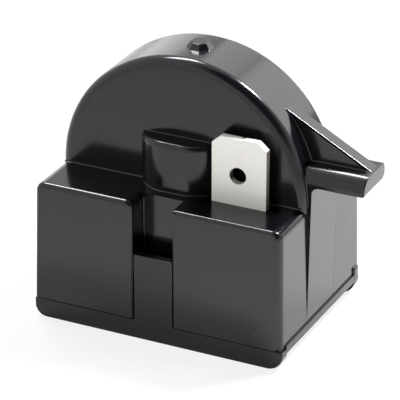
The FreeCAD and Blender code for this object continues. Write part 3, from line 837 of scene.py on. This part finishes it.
@dataclass
class Housing:
    """The moulded upper shell: lower block, round-topped slab, small box, side arm and pip.

    Names that end in edge or rim are radii of edges, round and corner are larger radii in an
    outline, and sunk is how deep a form stands in the one that carries it.
    """

    front: float = -0.85
    rear: float = 19.2
    half_width: float = 14.08
    half_top: float = 13.92
    seam: float = 2.23
    side_seam: float = 2.45
    top: float = 15.63
    side_edge: float = 1.05
    left_edge: float = 0.55
    right_edge: float = 0.42
    foot_edge: float = 0.05
    mouth_edge: float = 0.12
    corner_edge: float = 0.95
    corner_start: float = 0.1
    wall: float = 1.2
    roof: float = 14.43
    roof_corner: float = 0.3
    channel_left: float = -2.67
    channel_right: float = 1.93
    channel_back: float = 1.74
    channel_lip: float = 0.95
    slab_radius: float = 13.95
    slab_front: float = 5.05
    slab_rear: float = 13.35
    slab_rim: float = 1.1
    slab_sunk: float = 1.65
    boss_half: float = 4.85
    boss_front: float = 2.85
    boss_rear: float = 7.65
    boss_top: float = 21.08
    boss_corner: float = 3.9
    boss_rear_corner: float = 0.7
    boss_rim: float = 0.6
    boss_sunk: float = 0.5
    arm_front: float = 5.85
    arm_rear: float = 11.35
    arm_low: float = 17.93
    arm_high: float = 19.88
    arm_round: float = 1.6
    arm_rear_round: float = 0.7
    arm_low_round: float = 0.15
    arm_tip: float = 20.03
    arm_tip_edge: float = 0.14
    arm_under_edge: float = 0.3
    arm_inner: float = 0.6
    arm_sunk: float = 1.6
    upright_rear: float = 12.65
    upright_lean: float = 0.26
    upright_edge: float = 0.12
    upright_sunk: float = 2.5
    gusset_front: float = 8.1
    gusset_rear: float = 9.8
    gusset_inner: float = 8.5
    gusset_reach: float = 19.85
    gusset_angle: float = 28.4
    gusset_sunk: float = 1.0
    gusset_edge: float = 0.1
    gusset_front_edge: float = 0.18
    gusset_arc: tuple[float, float] = (17.5, 42.0)
    crown: float = 29.57
    pip_x: float = 0.17
    cove: float = 0.12
    slab_cove: float = 0.14
    channel_cove: float = 0.13
    upper_cove: float = 0.1

    def edge(self, low: float) -> tuple[float, float]:
        """Returns X of the right side at the height low, and at the top, on its drafted line."""
        lean = (self.half_width - self.half_top) / (self.top - self.seam)
        return self.half_width - lean * (low - self.seam), self.half_top

    def span(self, low: float, left: float | None = None, right: float | None = None,
             lip: float = CRISP, hollow: bool = False) -> Outline:
        """Upright outline of a stretch of the block.

        Args:
            low: Height of its foot.
            left: X of its left face, or None for the drafted side.
            right: X of its right face, or None for the drafted side.
            lip: Radius of its upper right corner at the channel.
            hollow: Whether there is a hollow under the roof, between two walls.

        Returns:
            The outline.
        """
        wide, crest = self.edge(low)
        x0, x1 = (-wide, -crest) if left is None else (left, left)
        x2, x3 = (wide, crest) if right is None else (right, right)
        radius_left = self.side_edge if left is None else CRISP
        radius_right = self.side_edge if right is None else lip
        if hollow:
            inner_left = (-self.half_top if left is None else left) + self.wall
            inner_right = (self.half_top if right is None else right) - self.wall
            corners = [(x0, low), (inner_left, low), (inner_left, self.roof), (inner_right, self.roof),
                       (inner_right, low), (x2, low), (x3, self.top), (x1, self.top)]
            radii = [0.0, 0.0, self.roof_corner, self.roof_corner, 0.0, 0.0, radius_right, radius_left]
        else:
            corners = [(x0, low), (x2, low), (x3, self.top), (x1, self.top)]
            radii = [CRISP, CRISP, radius_right, radius_left]
            if left is not None:
                # Two more points, between which the edge radius may change
                corners.insert(3, (x1 + 0.4, self.top))
                share = self.corner_start / (self.top - low)
                corners.insert(2, (x2 + (x3 - x2) * share, low + self.corner_start))
                radii = [CRISP, CRISP, 0.0, radius_right, 0.0, radius_left]
        return rounded(corners, radii, 10)

    def stretch(self, outline: Outline, start: float, end: float, ends: tuple[float, float] = (0.0, 0.0),
                mouth: float | None = None) -> Skin:
        """Runs an outline of the block from start to end along Y.

        Args:
            outline: The upright outline.
            start: Y of its front.
            end: Y of its back.
            ends: Edge radii at the front and at the back.
            mouth: X of the channel's face, whose edges stay crisp.

        Returns:
            The surface.
        """
        return run_back(outline, start, end, *(self.edges(outline, radius, mouth) for radius in ends),
                        steps=7)

    def edges(self, outline: Outline, radius: float, mouth: float | None) -> np.ndarray:
        """Works out an end's edge radius at each point of its outline.

        The foot and the channel's mouth have small edges. Beside the mouth, the left block's edge
        fades into its lip; the right block's outer corner has the larger corner edge.

        Args:
            outline: The upright outline.
            radius: The edge radius of the rest; 0 for an end that meets the next stretch.
            mouth: X of the channel's face, or None where there is none.

        Returns:
            One radius per point.
        """
        x, z = outline.points.T
        rim = np.full(len(x), radius)
        if not radius:
            return rim
        if mouth is None or mouth < 0:
            rim[z < self.side_seam + CRISP] = self.foot_edge
        else:
            rim += (self.corner_edge - radius) * np.clip(outline.normals[:, 0], 0.0, 1.0) ** 2
            rim[z < self.seam + 0.5 * self.corner_start] = self.foot_edge
        if mouth is not None:
            rim[np.abs(x - mouth) < 0.3] = self.mouth_edge
            lip = self.channel_lip if mouth < 0 else 0.0
            near = (np.abs(x - mouth) < lip) & (z > self.top - lip - 0.01)
            fade = np.clip((self.top - z[near]) / self.channel_lip, 0.0, 1.0)
            rim[near] = radius + (self.mouth_edge - radius) * fade
        return rim

    def block(self) -> Skin:
        """The lower block: front walls, hollow stretches beside the channel and behind it, rear wall.

        Returns:
            The surface.
        """
        left, right, back = self.channel_left, self.channel_right, self.channel_back
        low, sill, lip = self.seam, self.side_seam, self.channel_lip
        inside, behind = self.front + self.wall, self.rear - self.wall
        lining = rounded(rectangle(left - self.wall, right + self.wall, sill, self.roof), 0.0, 1)
        return joined([
            self.stretch(self.span(low, right=left, lip=lip), self.front, inside,
                         (self.left_edge, 0.0), left),
            self.stretch(self.span(low, left=right), self.front, inside, (self.right_edge, 0.0), right),
            self.stretch(self.span(sill, right=left, lip=lip, hollow=True), inside, back),
            self.stretch(self.span(sill, left=right, hollow=True), inside, back),
            self.stretch(self.span(sill, hollow=True), back, behind),
            self.stretch(self.span(low), behind, self.rear, (0.0, self.left_edge)),
            run_back(lining, back, back + self.wall, 0.0, CRISP, steps=2),
        ])

    def slab(self) -> Skin:
        """The round-topped slab: an upright outline with a half circle on top, run back.

        Returns:
            The surface.
        """
        reach = self.slab_radius
        corners = rectangle(-reach, reach, self.top - self.slab_sunk, self.top + reach)
        outline = rounded(corners, [0.0, 0.0, reach, reach], 72)
        return run_back(outline, self.slab_front, self.slab_rear, self.slab_rim, self.slab_rim, steps=10)

    def box_outline(self) -> Outline:
        """The small box in plan, with its big front corners."""
        corners = rectangle(-self.boss_half, self.boss_half, self.boss_front, self.boss_rear)
        return rounded(corners, [self.boss_corner] * 2 + [self.boss_rear_corner] * 2, 12)

    def boss(self) -> Skin:
        """The small box on the slab's face."""
        low = self.top - self.boss_sunk
        return Bar(Plane.PLAN, self.box_outline(), low, self.boss_top, self.foot_edge, self.boss_rim,
                   steps=8).skin()

    def arm(self) -> Skin:
        """The arm: a loaf-shaped section, much rounded at its upper front, run out to a crisp end.

        Under it stands the upright, with a hollow web between them and a ledge behind the arm.

        Returns:
            The surface.
        """
        front, rear, low, high = self.arm_front, self.arm_rear, self.arm_low, self.arm_high
        rounds = [self.arm_low_round, self.arm_rear_round, self.arm_rear_round, self.arm_round]
        outline = rounded(rectangle(front, rear, low, high), rounds, 10)
        tip = np.where(outline.normals[:, 1] < -0.3, self.arm_under_edge, self.arm_tip_edge)
        bar = Bar(Plane.SIDE, outline, self.half_width - self.arm_sunk, self.arm_tip, CRISP, tip,
                  steps=5).skin()
        heel, wide, foot = self.half_width - self.upright_sunk, self.half_width, self.side_seam + CRISP
        crest = wide + self.upright_lean
        post = rounded([(heel, foot), (wide, foot), (crest, low), (heel, low)], CRISP, 2)
        rim = np.where(post.points[:, 1] > low - 0.05, 0.0, self.upright_edge)
        upright = run_back(post, front, self.upright_rear, rim, rim, steps=4)
        web = fillet((crest, front + 0.01, low), (crest, rear - 0.3, low), RIGHT, DOWN, self.arm_inner)
        ledge = rounded(rectangle(heel, crest - 0.02, low - 0.01, low + 0.3), CRISP, 2)
        return joined([bar, upright, web,
                       run_back(ledge, rear - 0.8, self.upright_rear, 0.05, 0.05, steps=2)])

    def gusset(self) -> Skin:
        """The thin triangle from the slab's rim down to the arm's end, with its hollow fillets.

        Returns:
            The surface.
        """
        front, high, reach, inner = self.gusset_front, self.arm_high, self.gusset_reach, self.gusset_inner
        low = high - self.gusset_sunk
        rise = (reach - inner) * math.tan(math.radians(self.gusset_angle))
        outline = rounded([(inner, low), (reach, low), (reach, high), (inner, high + rise)],
                          [0.1, 0.1, 0.05, 0.1], 4)
        web = run_back(outline, front, self.gusset_rear, self.gusset_front_edge, self.gusset_edge, steps=8)
        angle = np.radians(np.linspace(*self.gusset_arc, 24))
        radial = np.stack([np.cos(angle), np.zeros(24), np.sin(angle)], axis=1)
        path = radial * self.slab_radius + np.array([0.0, front, self.top])
        foot = fillet((self.half_width - 1.0, front, high), (reach - 0.2, front, high), AHEAD, UP, self.cove)
        return joined([web, Cove(path, radial, AHEAD, self.cove).skin(), foot])

    def pip(self) -> Skin:
        """The eight-sided button on the crown.

        Rows are the eight-sided outline scaled by the row's radius; the row's normal leans out by
        the slope between the neighbouring rows.

        Returns:
            The surface.
        """
        angle = np.radians(np.arange(8) * 45.0 + 22.5)
        outline = rounded([(math.cos(a), math.sin(a)) for a in angle], 0.12, 3)
        radius = np.array([1.6, 1.52, 1.43, 1.36, 1.0, 0.96, 0.89])[:, None]
        height = np.array([-0.35, -0.16, -0.02, 0.08, 0.56, 0.62, 0.65])[:, None]
        outward = np.array([0.3, 0.4, 0.6, 0.75, 0.75, 0.4, 0.0])[:, None]
        upward = np.array([1.0, 1.0, 0.8, 0.66, 0.66, 0.92, 1.0])[:, None]
        length = np.hypot(outward, upward)
        middle = np.array([self.pip_x, (self.slab_front + self.slab_rear) / 2])
        shape = (len(radius), len(outline.points))
        places = lay(Plane.PLAN, outline.points[None] * radius[..., None] + middle,
                     np.broadcast_to(self.crown + height, shape))
        normals = lay(Plane.PLAN, outline.normals[None] * (outward / length)[..., None],
                      np.broadcast_to(upward / length, shape))
        skin = Skin()
        skin.grid(places, normals)
        skin.cap([places[-1]], UP)
        skin.cap([places[0]], DOWN)
        return skin

    def boss_foot(self) -> Skin:
        """The hollow fillet where the small box stands on the block.

        Returns:
            The surface.
        """
        outline = self.box_outline()
        shown = outline.points[:, 1] < self.slab_front - 0.4
        points, normals = outline.points[shown], outline.normals[shown]
        path = lay(Plane.PLAN, points, np.full(len(points), self.top))
        return Cove(path, lay(Plane.PLAN, normals, np.zeros(len(points))), UP, self.cove).skin()

    def upright_line(self) -> Skin:
        """The hollow fillet where the upright's front face meets the slab's rim, as a part of its circle.

        Returns:
            The surface.
        """
        height = np.linspace(self.top + 0.05, self.arm_high - 0.9, 16)
        x = np.sqrt(self.slab_radius ** 2 - (height - self.top) ** 2) - 0.02
        path = np.stack([x, np.full(16, self.arm_front), height], axis=1)
        return Cove(path, RIGHT, AHEAD, self.upper_cove).skin()

    def build(self, finishes: Finishes) -> list[bpy.types.Object]:
        """Builds the housing's pieces and dresses them.

        Args:
            finishes: The materials.

        Returns:
            The pieces.
        """
        left, back, face = self.channel_left, self.channel_back, self.slab_front
        reach, half = self.slab_radius - 0.4, self.boss_half - 0.6
        corner = fillet((left, back, self.seam), (left, back, self.top - 0.6), RIGHT, AHEAD,
                        self.channel_cove)
        foot = fillet((-reach, face, self.top), (reach, face, self.top), AHEAD, UP, self.slab_cove)
        crest = fillet((-half, face, self.boss_top), (half, face, self.boss_top), AHEAD, UP, self.upper_cove)
        parts = {
            "housing_block": joined([self.block(), corner]),
            "housing_slab": joined([self.slab(), foot]),
            "housing_boss": joined([self.boss(), self.boss_foot(), crest]),
            "housing_arm": joined([self.arm(), self.upright_line()]),
            "housing_gusset": self.gusset(),
            "housing_pip": self.pip(),
        }
        made = []
        for name, skin in parts.items():
            thing = skin.piece(name)
            finishes.dress(thing, "housing_black")
            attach(thing, "root")
            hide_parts("housing")
            made.append(thing)
        return made


# The base cover


@dataclass
class BaseCover:
    """The plate under the block, with its two feet, its side ledges and its front tongue."""

    half: float = 14.3
    front: float = -0.73
    rear: float = 19.08
    under: float = 1.55
    seam: float = 2.11
    ledge: float = 2.44
    ledge_width: float = 1.1
    front_foot: float = 1.3
    rear_foot: float = 1.1
    ear_top: float = 3.3
    ear_width: float = 0.6
    ear_depth: float = 1.2
    foot_corner: float = 1.3
    foot_corner_right: float = 1.75
    edge: float = 0.12
    tongue_left: float = -2.61
    tongue_right: float = 1.83
    tongue_depth: float = 0.93
    tongue_top: float = 9.7
    tongue_edge: float = 0.15
    pin_hole: float = 2.0
    pin_x: float = 7.5
    pin_y: float = 3.6

    def foot(self, start: float, end: float, rims: tuple[float, float], tongue: bool = False) -> Skin:
        """A foot across the whole width, its lower corners rounded; the front one has the tongue.

        Args:
            start: Y of its front.
            end: Y of its back.
            rims: Rim radii at the front and at the back.
            tongue: Whether the tongue stands on it.

        Returns:
            The surface.
        """
        corners = rectangle(-self.half, self.half, 0.0, self.seam)
        radii = [self.foot_corner, self.foot_corner_right, self.edge, self.edge]
        if tongue:
            left, right, high = self.tongue_left, self.tongue_right, self.tongue_top
            corners[3:3] = [(right, self.seam), (right, high), (left, high), (left, self.seam)]
            radii[3:3] = [0.05, self.tongue_edge, self.tongue_edge, 0.05]
        return run_back(rounded(corners, radii, 12), start, end, *rims, steps=4)

    def plate(self) -> Skin:
        """The plate with its two round pin holes.

        Returns:
            The surface.
        """
        half, inset = self.half - 0.2, 0.3
        outline = rounded(rectangle(-half, half, self.front + inset, self.rear - inset), inset, 5)
        holes = [ring(x, self.pin_y, self.pin_hole) for x in (-self.pin_x, self.pin_x)]
        return Bar(Plane.PLAN, outline, self.under, self.seam - 0.03, 0.05, 0.05, holes, 0.15, steps=4).skin()

    def rail(self, sign: float, x: tuple[float, float], top: float, radii: list[float],
             y: tuple[float, float], rim: float, steps: tuple[int, int]) -> Skin:
        """A raised rail along one side.

        Args:
            sign: 1 for the right side, -1 for the left.
            x: Its inner and outer face on the right side.
            top: Its height.
            radii: The corner radii of its section on the right side.
            y: Its front and its back.
            rim: Rim radius of its ends.
            steps: Sides per corner and rings per rim.

        Returns:
            The surface.
        """
        corners = rectangle(*x, self.under, top)
        if sign < 0:
            corners, radii = [(-x, z) for x, z in corners][::-1], radii[::-1]
        return run_back(rounded(corners, radii, steps[0]), *y, rim, rim, steps=steps[1])

    def rails(self, sign: float) -> list[Skin]:
        """One side's ledge, and its small raised end at the rear corner.

        Args:
            sign: 1 for the right side, -1 for the left.

        Returns:
            The two surfaces.
        """
        reach, end = self.ledge_width, self.rear - 0.01
        ledge = self.rail(sign, (self.half - reach, self.half - 0.015), self.ledge, [0.08] * 4,
                          (self.front + reach, self.rear - reach), 0.06, (3, 3))
        ear = self.rail(sign, (self.half - self.ear_width, self.half - 0.005), self.ear_top,
                        [0.05, 0.05, 0.3, CRISP], (self.rear - self.ear_depth, end), 0.25, (5, 4))
        return [ledge, ear]

    def build(self, finishes: Finishes) -> list[bpy.types.Object]:
        """Builds the cover as one piece and dresses it.

        Args:
            finishes: The materials.

        Returns:
            The pieces.
        """
        step = self.front + self.tongue_depth
        skin = joined([
            self.plate(), *self.rails(1.0), *self.rails(-1.0),
            self.foot(self.front, step, (0.08, self.edge), tongue=True),
            self.foot(step - self.edge, self.front + self.front_foot, (0.0, 0.1)),
            self.foot(self.rear - self.rear_foot, self.rear, (0.1, 0.1)),
        ])
        thing = skin.piece("cover")
        finishes.dress(thing, "cover_black")
        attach(thing, "root")
        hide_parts("base_cover")
        return [thing]


# The outside terminal


@dataclass
class TabTerminal:
    """The tinned terminal: outside tab with its detent hole, shank and slit pin socket."""

    x: float = 7.5
    front: float = 3.2
    rear: float = 4.0
    half: float = 3.06
    top: float = 23.04
    blade_shift: float = -0.06
    chamfer_side: float = 0.98
    chamfer_rise: float = 0.86
    hole_height: float = 18.92
    hole_shift: float = -0.12
    hole_radius: float = 0.9
    shoulder: float = 14.33
    neck: float = 9.43
    foot: float = 3.63
    wide: float = 3.6
    rivet_height: float = 12.13
    socket_y: float = 3.6
    bore: float = 1.65
    tube: float = 2.15
    slit: float = 0.4

    def blade(self) -> Skin:
        """The flat blade: chamfered top, a small nick in its top edge, and the detent hole.

        Returns:
            The surface.
        """
        x, half, peak, wide, tube = self.x + self.blade_shift, self.half, self.top, self.wide, self.tube
        low, neck, under, shoulder = self.neck, self.neck + 0.6, self.shoulder - 1.2, self.shoulder
        side, bevel = half - self.chamfer_side, peak - self.chamfer_rise
        right = [(tube, low), (half, neck), (half, under), (wide, under), (wide, shoulder), (half, shoulder),
                 (half, bevel), (side, peak)]
        nick = [(0.42, peak), (0.3, peak - 0.12), (0.12, peak - 0.02)]
        corners = ([(x - tube, low)] + [(x + a, z) for a, z in right + nick]
                   + [(x - a, z) for a, z in right[:0:-1]])
        radii = [0.05] * 7 + [0.12, 0.15, 0.03, 0.03, 0.03, 0.15, 0.12] + [0.05] * 5
        outline = rounded(corners, radii, 4)
        holes = [ring(x + self.hole_shift, self.hole_height, self.hole_radius),
                 ring(x, self.rivet_height, 1.0)]
        return Bar(Plane.FRONT, outline, -self.rear, -self.front, 0.05, 0.07, holes, 0.1, steps=4).skin()

    def socket(self) -> Skin:
        """The rolled socket: a ring with a slit at the front, as one C-shaped outline.

        Returns:
            The surface.
        """
        slit = math.asin(self.slit / self.tube)
        angle = np.linspace(-np.pi / 2 + slit, 1.5 * np.pi - slit, 49)
        outer = np.stack([np.cos(angle), np.sin(angle)], axis=1)
        inner, middle = outer[::-1], np.array([self.x, self.socket_y])
        outline = Outline(np.concatenate([middle + outer * self.tube, middle + inner * self.bore]),
                          np.concatenate([outer, -inner]))
        return Bar(Plane.PLAN, outline, self.foot, self.neck + 0.02, 0.08, 0.05, steps=3).skin()

    def build(self, finishes: Finishes) -> list[bpy.types.Object]:
        """Builds the terminal as one piece and dresses it.

        Args:
            finishes: The materials.

        Returns:
            The pieces.
        """
        thing = joined([self.blade(), self.socket()]).piece("outside_terminal")
        finishes.dress(thing, "tinned_brass")
        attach(thing, "root")
        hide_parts("tab_terminal")
        return [thing]


@dataclass
class InnerParts:
    """The parts inside the shell, which keep the solids' shapes and get their finishes."""

    slots: dict[str, str] = field(default_factory=lambda: {
        "start_terminal": "tinned_brass",
        "run_socket_spring": "spring_steel", "start_socket_spring": "spring_steel",
        "run_strap": "strap_brass", "start_strap": "strap_brass",
        "run_rivet": "rivet_brass", "start_rivet": "rivet_brass",
        "front_contact_spring": "contact_steel", "rear_contact_spring": "contact_steel",
        "ptc_disc": "disc_ceramic",
    })

    def build(self, finishes: Finishes, nodes: dict[str, bpy.types.Object]) -> list[bpy.types.Object]:
        """Dresses the parts.

        Args:
            finishes: The materials.
            nodes: The solids' objects by their names.

        Returns:
            The parts.
        """
        for name, slot in self.slots.items():
            finishes.dress(nodes[name], slot)
            LOG.info("%s: %s", name, slot)
        return [nodes[name] for name in self.slots]


# The studio


@dataclass
class Studio:
    """Floor, lamps, surroundings and camera.

    The camera's sizes are millimetres and degrees, the lamps' millimetres and watts. The floor is
    plain white to the camera by the share floor_seen, which leaves it the object's shadow, and in
    reflections by the share floor_mirrored. The surroundings give sky_light as a lamp, and are 1
    where they are seen or mirrored, but for a dark part about dark_way, like a studio's ceiling:
    it begins and is full at the two cosines of dark_span.
    """

    azimuth: float = 25.90039
    elevation: float = 25.777
    roll: float = 0.04
    distance: float = 291.3
    target: tuple[float, float, float] = (0.204, 9.15, 12.198)
    lens: float = 250.27
    spot_radius: float = 42.0
    spot_cone: float = 26.0
    spot_power: float = 12.5
    floor_reach: float = 3.0
    floor_white: float = 0.86
    floor_glow: float = 1.02
    floor_seen: float = 0.82
    floor_mirrored: float = 0.4
    sky_light: float = 0.4
    dark_way: tuple[float, float, float] = (0.47, -0.42, 0.776)
    dark_span: tuple[float, float] = (0.66, 0.86)
    dark_level: float = 0.08

    def camera(self) -> None:
        """Sets the camera at the photograph's angle: it stands back from its target along the view."""
        az, el = math.radians(self.azimuth), math.radians(self.elevation)
        back = Vector((math.sin(az) * math.cos(el), -math.cos(az) * math.cos(el), math.sin(el)))
        right = Vector((math.cos(az), math.sin(az), 0.0))
        up = back.cross(right)
        turn = math.radians(self.roll)
        right, up = right * math.cos(turn) + up * math.sin(turn), up * math.cos(turn) - right * math.sin(turn)
        data = bpy.data.cameras.new("camera")
        data.lens = self.lens
        data.sensor_width = 36.0
        data.clip_start, data.clip_end = 0.01, 20.0
        thing = bpy.data.objects.new("camera", data)
        place = Matrix((right, up, back)).transposed().to_4x4()
        place.translation = (Vector(self.target) + back * self.distance) * MM
        thing.matrix_world = place
        bpy.context.scene.collection.objects.link(thing)
        bpy.context.scene.camera = thing

    def hang(self, data: bpy.types.Light, place: tuple, aim: tuple) -> bpy.types.Object:
        """Places a lamp, pointed at its aim and out of the camera's sight.

        Args:
            data: The lamp's data.
            place: Where it stands, in millimetres.
            aim: What it points at.

        Returns:
            The lamp.
        """
        thing = bpy.data.objects.new(data.name, data)
        thing.location = Vector(place) * MM
        thing.rotation_euler = (Vector(aim) - Vector(place)).to_track_quat("-Z", "Y").to_euler()
        thing.visible_camera = False
        bpy.context.scene.collection.objects.link(thing)
        return thing

    def lamp(self, name: str, place: tuple, aim: tuple, size: tuple, strength: float) -> bpy.types.Object:
        """Adds a soft rectangular lamp.

        Args:
            name: Its name.
            place: Where it stands, in millimetres.
            aim: What it points at.
            size: Its width and height.
            strength: Its radiance, where 1 looks white.

        Returns:
            The lamp.
        """
        data = bpy.data.lights.new(name, "AREA")
        data.shape = "RECTANGLE"
        data.size, data.size_y = size[0] * MM, size[1] * MM
        data.energy = strength * math.pi * data.size * data.size_y
        return self.hang(data, place, aim)

    def spot(self, name: str, place: tuple, aim: tuple) -> bpy.types.Object:
        """Adds a soft spot lamp, which lightens the floor behind the object.

        Args:
            name: Its name.
            place: Where it stands, in millimetres.
            aim: What it points at.

        Returns:
            The lamp.
        """
        data = bpy.data.lights.new(name, "SPOT")
        data.shadow_soft_size = self.spot_radius * MM
        data.spot_size, data.spot_blend = math.radians(self.spot_cone), 0.9
        data.energy = self.spot_power
        return self.hang(data, place, aim)

    def floor(self) -> None:
        """Adds the pale floor, whose camera colour is mostly plain white with a faint shadow."""
        mesh = bpy.data.meshes.new("floor")
        far = self.floor_reach
        mesh.from_pydata([(-far, -far, 0), (far, -far, 0), (far, far, 0), (-far, far, 0)], [], [(0, 1, 2, 3)])
        thing = bpy.data.objects.new("floor", mesh)
        bpy.context.scene.collection.objects.link(thing)
        made = bpy.data.materials.new("pale_floor")
        made.use_nodes = True
        nodes = Nodes(made.node_tree)
        shader = made.node_tree.nodes["Principled BSDF"]
        nodes.put((*[self.floor_white] * 3, 1.0), shader, "Base Color")
        nodes.put(0.9, shader, "Roughness")
        nodes.put(0.0, shader, "Specular IOR Level")
        path = nodes.add("ShaderNodeLightPath")
        glow = nodes.add("ShaderNodeEmission")
        nodes.put(self.floor_glow, glow, "Strength")
        blend = nodes.add("ShaderNodeMixShader")
        seen = nodes.math("MULTIPLY", path.outputs["Is Camera Ray"], self.floor_seen)
        mirrored = nodes.math("MAXIMUM", path.outputs["Is Glossy Ray"], path.outputs["Is Transmission Ray"])
        mirrored = nodes.math("MULTIPLY", mirrored, self.floor_mirrored)
        nodes.put(nodes.math("MAXIMUM", seen, mirrored), blend, "Fac")
        nodes.put(shader.outputs["BSDF"], blend, 1)
        nodes.put(glow.outputs["Emission"], blend, 2)
        nodes.put(blend.outputs["Shader"], made.node_tree.nodes["Material Output"], "Surface")
        mesh.materials.append(made)

    def surroundings(self) -> None:
        """White to the camera and in reflections, softer as a light."""
        world = bpy.data.worlds.new("surroundings")
        bpy.context.scene.world = world
        world.use_nodes = True
        nodes = Nodes(world.node_tree)
        back = world.node_tree.nodes["Background"]
        nodes.put((1.0, 1.0, 1.0, 1.0), back, "Color")
        path = nodes.add("ShaderNodeLightPath")
        seen = nodes.math("MAXIMUM", path.outputs["Is Camera Ray"], path.outputs["Is Glossy Ray"])
        seen = nodes.math("MAXIMUM", seen, path.outputs["Is Transmission Ray"])
        level = nodes.span(seen, 0.0, 1.0, self.sky_light)
        way = nodes.add("ShaderNodeVectorMath", operation="DOT_PRODUCT")
        nodes.put(nodes.add("ShaderNodeTexCoord").outputs["Generated"], way, 0)
        nodes.put(self.dark_way, way, 1)
        shade = nodes.span(way.outputs["Value"], *self.dark_span, 1.0, self.dark_level)
        shade = nodes.math("MAXIMUM", shade, path.outputs["Is Camera Ray"])
        nodes.put(nodes.math("MULTIPLY", level, shade), back, "Strength")

    def build(self) -> None:
        """Sets up everything round the object."""
        self.camera()
        self.floor()
        self.surroundings()
        middle = (0, 9, 20)
        self.lamp("key", (-168, 140, 388), (0, 9, 14), (200, 70), 30.0)
        self.lamp("left_panel", (-330, 420, 80), middle, (380, 260), 1.0)
        self.lamp("middle_panel", (-60, 430, 270), middle, (160, 220), 1.2)
        self.lamp("right_panel", (190, 430, 230), middle, (300, 260), 2.0)
        self.lamp("front_fill", (-150, -460, 130), (0, 0, 14), (420, 200), 3.5).visible_glossy = False
        self.spot("floor_spot", (140, 191, 311), (28, 34, 0))
        bpy.context.scene.view_settings.view_transform = "Standard"


def main() -> None:
    """Builds the pieces in order."""
    logging.basicConfig(level=logging.INFO, format="%(message)s")
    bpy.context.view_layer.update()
    Studio().build()
    finishes = Finishes()
    pieces = Housing().build(finishes)
    pieces += BaseCover().build(finishes)
    pieces += TabTerminal().build(finishes)
    pieces += InnerParts().build(finishes, frame["nodes"])
    LOG.info("%d pieces", len(pieces))


if __name__ == "__main__":
    main()
